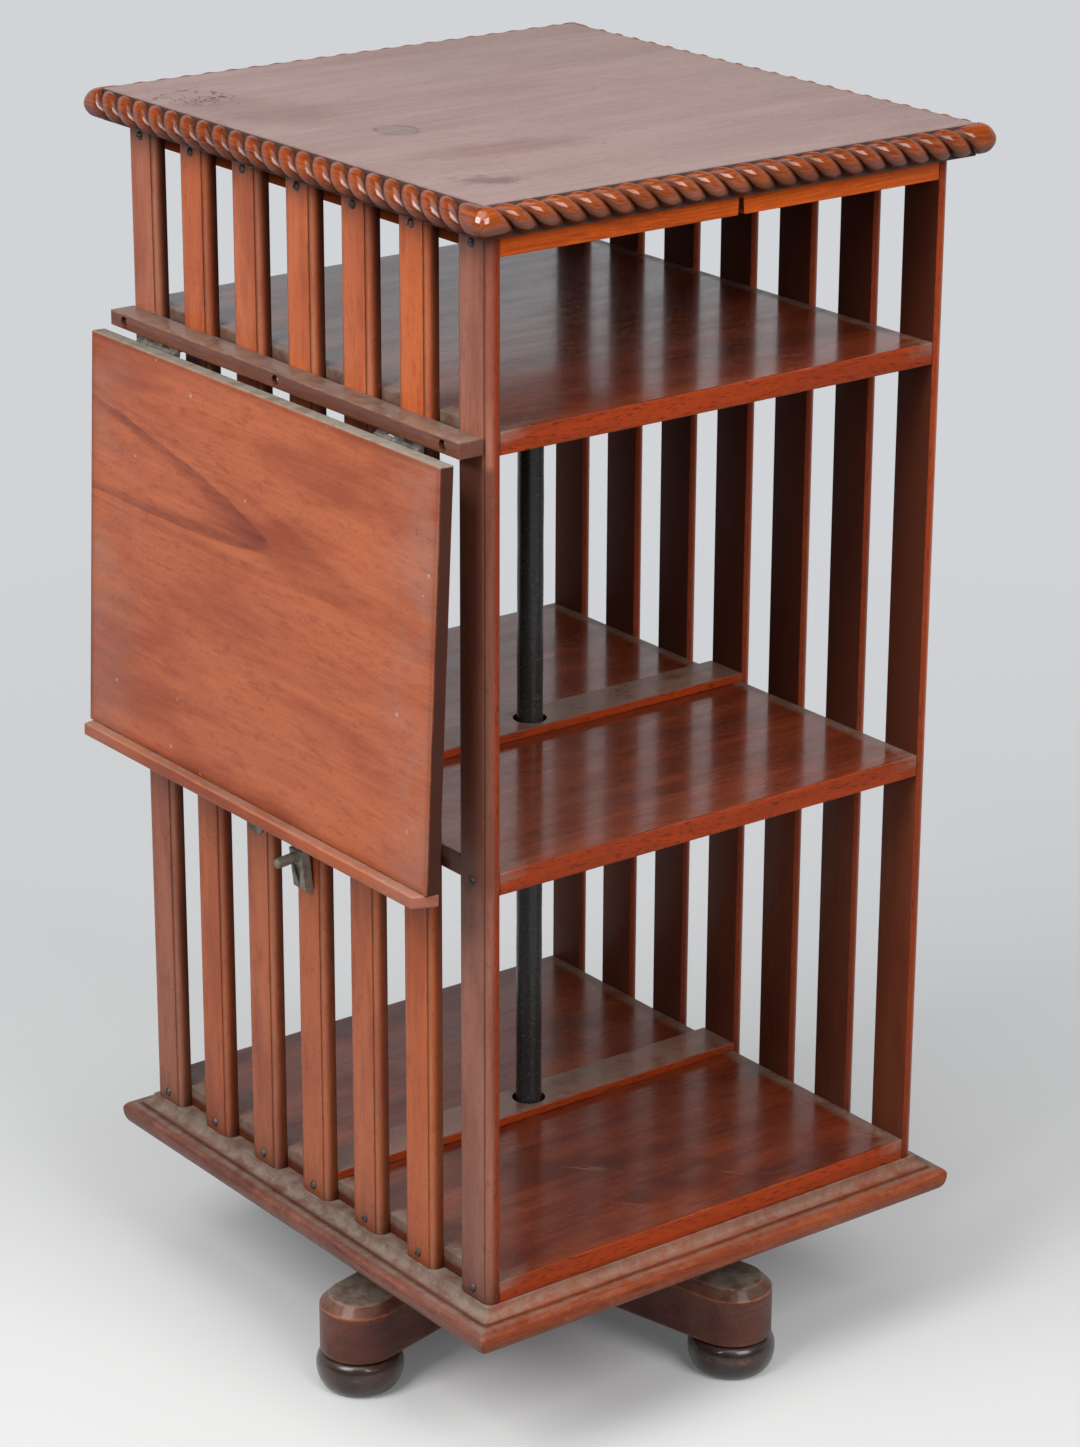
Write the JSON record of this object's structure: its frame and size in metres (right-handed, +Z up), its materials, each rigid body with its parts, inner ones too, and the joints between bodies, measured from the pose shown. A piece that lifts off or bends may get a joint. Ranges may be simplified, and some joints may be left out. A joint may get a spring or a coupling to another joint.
{
  "type": "revolving bookcase",
  "caption": "Square revolving bookcase with open shelves, slatted sides and rope-carved top, turning on an iron column over crossed foot bars, with a hinged reading board on one side.",
  "frame": {"origin": "on the floor, on the axis of the column that the case turns on", "axes": "+Z up along the column; the open sides of the case face -Y and +Y, its slatted walls -X and +X, and the reading board hangs outside the -X wall"},
  "size_m": [0.5663, 0.567, 1.093],
  "materials": {
    "foot_wood": "worn polish, dusty on top",
    "bun_wood": "ebonised, worn",
    "black_iron": "black, speckled",
    "shelf_wood": "French polished mahogany",
    "slat_wood": "French polished mahogany",
    "plinth_wood": "worn polish, dusty ledges",
    "rail_wood": "French polished mahogany",
    "rope_wood": "glossy polish on carving",
    "top_wood": "faded satin polish, stained",
    "lectern_wood": "French polished mahogany",
    "screw_steel": "dull bare steel",
    "hinge_iron": "dull, dusty",
    "stay_iron": "dark brown patina"
  },
  "bodies": {
    "base": {"foot_bar_lower": "foot_wood", "foot_bar_upper": "foot_wood", "bun_foot_1": "bun_wood", "bun_foot_2": "bun_wood", "bun_foot_3": "bun_wood", "bun_foot_4": "bun_wood", "column": "black_iron", "column_flange": "black_iron", "flange_screws": "screw_steel"},
    "case": {"bottom_shelf": "shelf_wood", "middle_shelf": "shelf_wood", "upper_shelf": "shelf_wood", "bottom_batten": "shelf_wood", "middle_batten": "shelf_wood", "plinth_front": "plinth_wood", "plinth_back": "plinth_wood", "plinth_left": "plinth_wood", "plinth_right": "plinth_wood", "slat_left_1": "slat_wood", "slat_left_2": "slat_wood", "slat_left_3": "slat_wood", "slat_left_4": "slat_wood", "slat_left_5": "slat_wood", "slat_left_6": "slat_wood", "slat_left_7": "slat_wood", "slat_right_1": "slat_wood", "slat_right_2": "slat_wood", "slat_right_3": "slat_wood", "slat_right_4": "slat_wood", "slat_right_5": "slat_wood", "slat_right_6": "slat_wood", "slat_right_7": "slat_wood", "top_rail_front": "rail_wood", "top_rail_back": "rail_wood", "top_rail_left": "rail_wood", "top_rail_right": "rail_wood", "top_board": "top_wood", "rope_front": "rope_wood", "rope_back": "rope_wood", "rope_left": "rope_wood", "rope_right": "rope_wood", "slat_screws": "screw_steel", "bearing_plate": "black_iron", "guide_collar": "black_iron", "fitting_screws": "screw_steel", "lectern_rail": "lectern_wood", "rail_screws": "screw_steel", "hinge_rail_leaves": "hinge_iron", "hinge_pins": "hinge_iron", "stay_rack": "stay_iron", "rub_plate": "stay_iron"},
    "lectern": {"lectern_board": "lectern_wood", "lectern_ledge": "lectern_wood", "hinge_board_leaves": "hinge_iron", "lectern_screws": "screw_steel", "stay_bracket": "stay_iron", "stay_pin": "stay_iron"},
    "stay": {"stay_strut": "stay_iron"}
  },
  "joints": [
    {"name": "case_turn", "type": "hinge", "parent": "base", "child": "case", "pos_m": [0, 0, 0.891], "axis": [0, 0, 1], "continuous": true},
    {"name": "lectern_tilt", "type": "hinge", "parent": "case", "child": "lectern", "pos_m": [-0.26, 0, 0.8888], "axis": [0, 1, 0], "range_deg": [0, 55]},
    {"name": "stay_fold", "type": "hinge", "parent": "lectern", "child": "stay", "pos_m": [-0.26466, 0, 0.67179], "axis": [0, 1, 0], "range_deg": [-110, 0]}
  ],
  "couplings": [
    {"joint": "stay_fold", "follows": "lectern_tilt", "ratio": -2}
  ]
}
